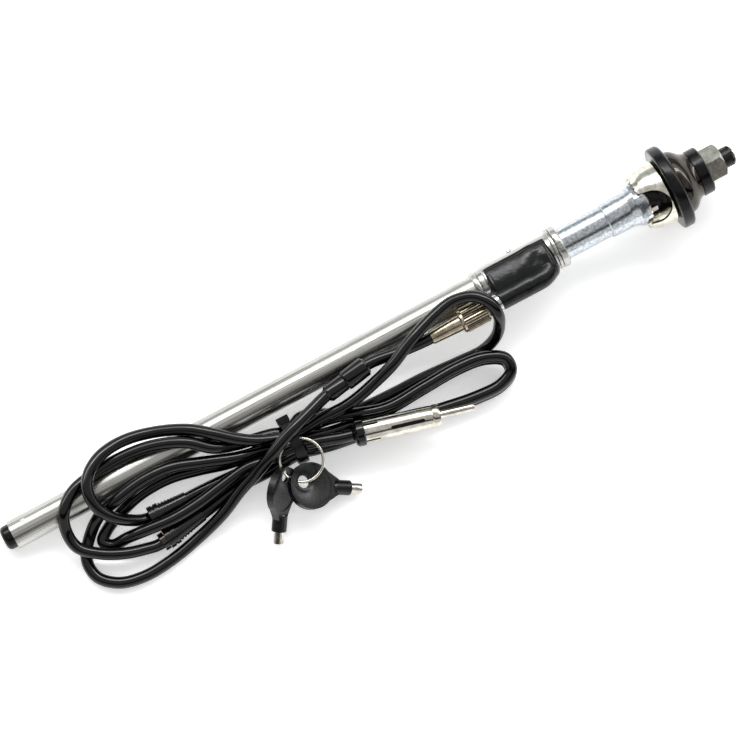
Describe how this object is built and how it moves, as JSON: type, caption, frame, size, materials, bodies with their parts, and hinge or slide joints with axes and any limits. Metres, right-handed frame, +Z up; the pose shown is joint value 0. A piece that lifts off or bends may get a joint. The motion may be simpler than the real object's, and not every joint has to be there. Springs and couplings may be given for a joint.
{
  "type": "car mast aerial",
  "caption": "Lockable telescopic wing-mount car aerial, pushed in, with tilting claw clamp, rubber gasket, coaxial lead in a tied hank, aerial plug and keys.",
  "frame": {"origin": "on the surface the aerial lies on, under the middle of the mast's length", "axes": "+X along the mast towards its tip, +Z up, the lead arm and the hank on the -Y side"},
  "size_m": [0.3234, 0.0693, 0.0348],
  "materials": {
    "bright_nickel": "bright nickel plate, drawn lengthwise",
    "bright_chrome": "polished chrome plate",
    "dark_chrome": "dark polished plate",
    "zinc_plate": "dull zinc plate",
    "cast_nickel": "satin nickel over pressed steel",
    "aged_nickel": "nickelled brass, dulled",
    "brass": "bare",
    "white_plastic": "natural",
    "black_plastic": "satin",
    "gloss_black": "gloss",
    "key_plastic": "satin",
    "lead_jacket": "glossy soft jacket",
    "soft_boot": "soft satin",
    "black_rubber": "satin moulded"
  },
  "bodies": {
    "aerial": {"tail_cap": "black_rubber", "lower_tube": "bright_nickel", "lower_liner": "white_plastic", "tail_bush": "white_plastic", "joint_ring": "bright_nickel", "feed_casing": "bright_nickel", "casing_rivet": "bright_nickel", "contact_holder": "white_plastic", "contact_ring": "brass", "flange_ring": "bright_nickel", "upper_sleeve": "zinc_plate", "neck_socket": "zinc_plate", "threaded_neck": "bright_nickel", "upper_guide": "white_plastic", "swivel_ball": "black_plastic", "earth_spring": "bright_nickel", "ring_washer": "black_rubber", "panel_nut": "bright_nickel", "feed_arm": "zinc_plate", "feed_insulator": "white_plastic", "feed_wire": "brass", "arm_boot": "soft_boot", "coupling_nut": "aged_nickel", "ferrule": "aged_nickel", "coax_lead": "lead_jacket", "coupler_socket": "gloss_black", "coupler_plug": "gloss_black", "lead_grommet_1": "soft_boot", "lead_grommet_2": "soft_boot", "grommet_clip": "zinc_plate", "plug_collar": "gloss_black", "plug_shell": "bright_nickel", "plug_insulator": "black_plastic", "plug_pin": "bright_nickel", "lead_tie": "soft_boot", "key_ring": "bright_nickel", "key_1_bow": "key_plastic", "key_1_tube": "bright_nickel", "key_2_bow": "key_plastic", "key_2_tube": "bright_nickel"},
    "clamp": {"clamp_claw": "cast_nickel", "panel_gasket": "black_rubber", "bezel": "dark_chrome"},
    "lowest_section": {"section_1": "bright_chrome", "section_1_bush": "brass"},
    "middle_section": {"section_2": "bright_chrome", "section_2_bush": "brass"},
    "upper_section": {"section_3": "bright_chrome", "section_3_bush": "brass"},
    "rod": {"mast_rod": "bright_chrome", "rod_bush": "brass", "tip_cap": "black_plastic"},
    "lock": {"lock_barrel": "bright_nickel"}
  },
  "joints": [
    {"name": "clamp_tilt", "type": "hinge", "parent": "aerial", "child": "clamp", "pos_m": [0.12571, 0, 0.01709], "axis": [-0.021, 0.848, 0.5295], "range_deg": [-8, 8]},
    {"name": "lowest_section_slide", "type": "slide", "parent": "aerial", "child": "lowest_section", "axis": [0.9992, 0, 0.0397], "range_m": [0, 0.21]},
    {"name": "middle_section_slide", "type": "slide", "parent": "lowest_section", "child": "middle_section", "axis": [0.9992, 0, 0.0397], "range_m": [0, 0.284]},
    {"name": "upper_section_slide", "type": "slide", "parent": "middle_section", "child": "upper_section", "axis": [0.9992, 0, 0.0397], "range_m": [0, 0.282]},
    {"name": "rod_slide", "type": "slide", "parent": "upper_section", "child": "rod", "axis": [0.9992, 0, 0.0397], "range_m": [0, 0.281]},
    {"name": "lock_turn", "type": "hinge", "parent": "rod", "child": "lock", "pos_m": [0.16018, 0, 0.01845], "axis": [0.9992, 0, 0.0397], "range_deg": [0, 90]}
  ]
}
